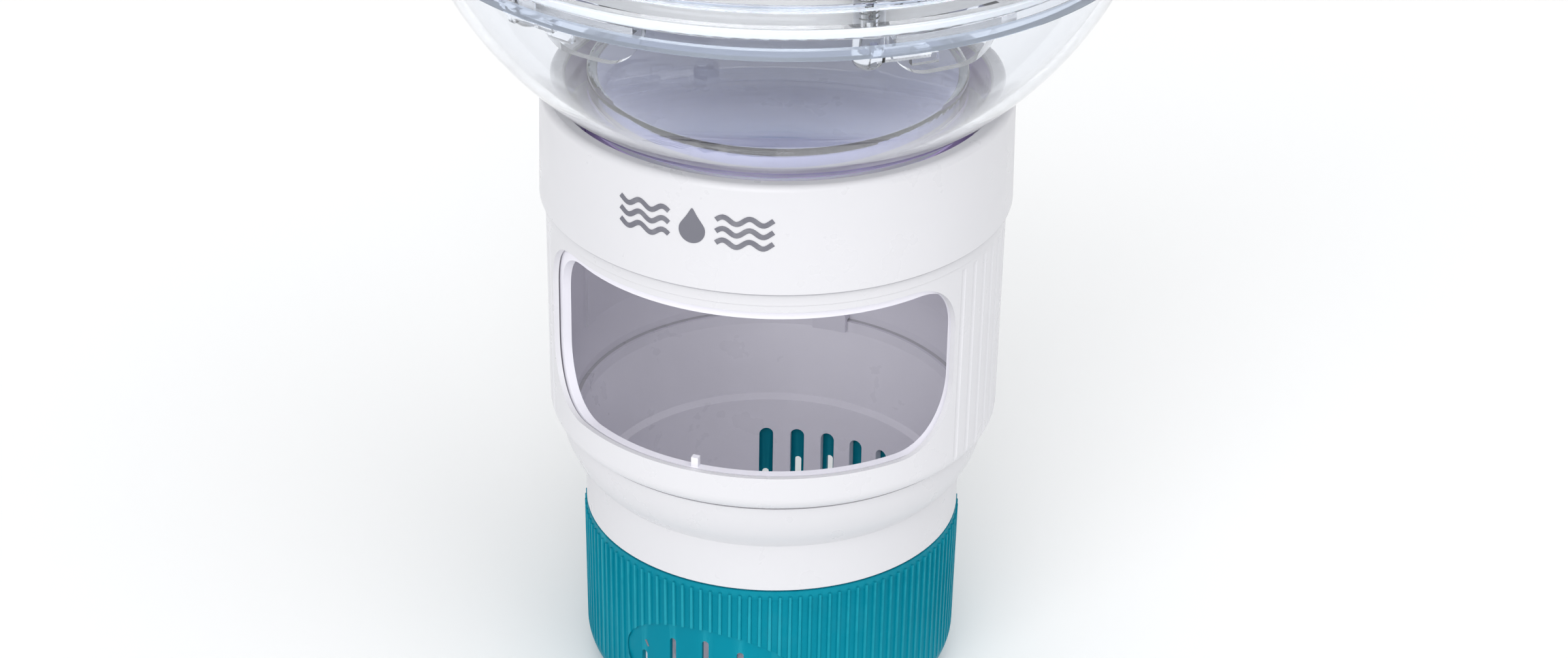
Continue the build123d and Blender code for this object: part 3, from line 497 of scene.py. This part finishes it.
def threads():
    """The threads of the six screws, as one piece."""
    low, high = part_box("tray_screws")
    verts, faces = [], []
    for angle in SCREW_ANGLES:
        x, y = SCREW_CIRCLE_R * sin(radians(angle)), -SCREW_CIRCLE_R * cos(radians(angle))
        more, sides = helix(low.z / MM + THREAD_ABOVE_TIP, high.z / MM - THREAD_BELOW_HEAD, x, y)
        start = len(verts)
        verts += more
        faces += [tuple(start + i for i in face) for face in sides]
    return piece("tray_screw_threads", verts, faces, STEEL, "housing")


def wrap(outlines, radius_at, centre_z, turn, proud):
    """Closed flat shapes, given as (along, up) in millimetres, laid round a wall."""
    verts, faces = [], []
    for outline in outlines:
        start, n = len(verts), len(outline)
        for lift in (-MARK_SINK, proud):
            for s, up in outline:
                r = radius_at(centre_z + up) + lift
                a = turn + s / r
                verts.append((r * sin(a), -r * cos(a), centre_z + up))
        faces.append(tuple(start + n + i for i in range(n)))
        faces.append(tuple(start + n - 1 - i for i in range(n)))
        for i in range(n):
            j = (i + 1) % n
            faces.append((start + i, start + j, start + n + j, start + n + i))
    return verts, faces


def ribbon(points, width):
    """Quads of even width along a line of points, each a closed outline."""
    quads = []
    for (x0, y0), (x1, y1) in zip(points, points[1:]):
        length = sqrt((x1 - x0) ** 2 + (y1 - y0) ** 2)
        nx, ny = -(y1 - y0) / length * width / 2, (x1 - x0) / length * width / 2
        dx, dy = (x1 - x0) / length * WAVE_OVERLAP, (y1 - y0) / length * WAVE_OVERLAP
        quads.append([
            (x0 - dx - nx, y0 - dy - ny), (x1 + dx - nx, y1 + dy - ny),
            (x1 + dx + nx, y1 + dy + ny), (x0 - dx + nx, y0 - dy + ny),
        ])
    return quads


def collar_radius(z):
    """Outside of the collar at a height, millimetres."""
    low, high = COLLAR_WALL
    return COLLAR_R - COLLAR_TAPER * (z - low) / (high - low)


def drop():
    """Water drop standing upright, as a closed outline."""
    points = []
    for i in range(DROP_STEPS):
        a = tau * i / DROP_STEPS
        pull = max(0.0, sin(a)) ** 4
        across = DROP_SIZE * cos(a) * (1 - DROP_NARROWING * pull)
        up = DROP_SIZE * sin(a) * (1 + DROP_STRETCH * pull) - DROP_LOWERING * DROP_SIZE
        points.append((across, up))
    return points


def wave(side, row):
    """Line of one wave, leaving the middle towards a side."""
    points = []
    for i in range(WAVE_POINTS):
        along = WAVE_STEP * i
        height = WAVE_HEIGHT * sin(along * tau / WAVE_LENGTH) + WAVE_ROW * row
        points.append((side * (WAVE_START + along), height))
    return points


def collar_mark():
    """Drop between two groups of three waves, a plain water pictogram."""
    shapes = [drop()]
    for side in (-1, 1):
        for row in (-1, 0, 1):
            shapes += ribbon(wave(side, row), WAVE_WIDTH)
    verts, faces = wrap(shapes, collar_radius, MARK_Z, MARK_TURN, MARK_PROUD)
    return piece("collar_mark", verts, faces, PRINT, "housing")


def panel_tick():
    """Short slanted pointer on the ring's front panel."""
    verts, faces = wrap([TICK], lambda z: TICK_R, TICK_Z, TICK_TURN, MARK_PROUD)
    return piece("panel_tick", verts, faces, PRINT, "ring")


# The clear shells cast no shadow, so that light reaches the inside
for name in ("lower_bowl", "upper_dome"):
    nodes[name].visible_shadow = False

threads()
collar_mark()
panel_tick()
for shown in nodes.values():
    smooth(shown)


# ---------------------------------------------------------------- stage

def sun(name, azimuth, elevation, strength, spread):
    """Soft light from far away; azimuth is measured from the front towards +X."""
    data = bpy.data.lights.new(name, "SUN")
    data.energy = strength
    data.angle = radians(spread)
    a, e = radians(azimuth), radians(elevation)
    away = Vector((sin(a) * cos(e), -cos(a) * cos(e), sin(e)))
    lamp = bpy.data.objects.new(name, data)
    lamp.location = away
    lamp.rotation_mode = "QUATERNION"
    lamp.rotation_quaternion = away.to_track_quat("Z", "Y")
    bpy.context.scene.collection.objects.link(lamp)


def floor():
    """Plain pale ground just under the object."""
    mesh = bpy.data.meshes.new("floor")
    corners = [(-1, -1), (1, -1), (1, 1), (-1, 1)]
    points = [(FLOOR_HALF * x, FLOOR_HALF * y, -FLOOR_DROP * MM) for x, y in corners]
    mesh.from_pydata(points, [], [(0, 1, 2, 3)])
    look = Look("floor")
    look.set(Base_Color=FLOOR_COLOUR, Roughness=0.9)
    mesh.materials.append(look.material)
    made = bpy.data.objects.new("floor", mesh)
    bpy.context.scene.collection.objects.link(made)


def world():
    """Even pale surroundings."""
    sky = bpy.data.worlds.new("studio")
    sky.use_nodes = True
    background = sky.node_tree.nodes["Background"]
    background.inputs["Color"].default_value = SKY_COLOUR
    background.inputs["Strength"].default_value = SKY_STRENGTH
    bpy.context.scene.world = sky
    bpy.context.scene.view_settings.view_transform = "Standard"


def camera():
    """Camera above the front right of the object, looking down at it."""
    data = bpy.data.cameras.new("camera")
    data.lens = CAMERA_LENS
    data.sensor_width = SENSOR_WIDTH
    made = bpy.data.objects.new("camera", data)
    turn = Matrix.Rotation(CAMERA_TURN, 4, "Z") @ Matrix.Rotation(pi / 2 - CAMERA_DOWN, 4, "X")
    made.matrix_world = Matrix.Translation(CAMERA_AT) @ turn @ Matrix.Rotation(CAMERA_ROLL, 4, "Z")
    bpy.context.scene.collection.objects.link(made)
    bpy.context.scene.camera = made


floor()
world()
camera()
sun("key", azimuth=42, elevation=62, strength=1.15, spread=60)
sun("fill", azimuth=2, elevation=28, strength=1.35, spread=50)
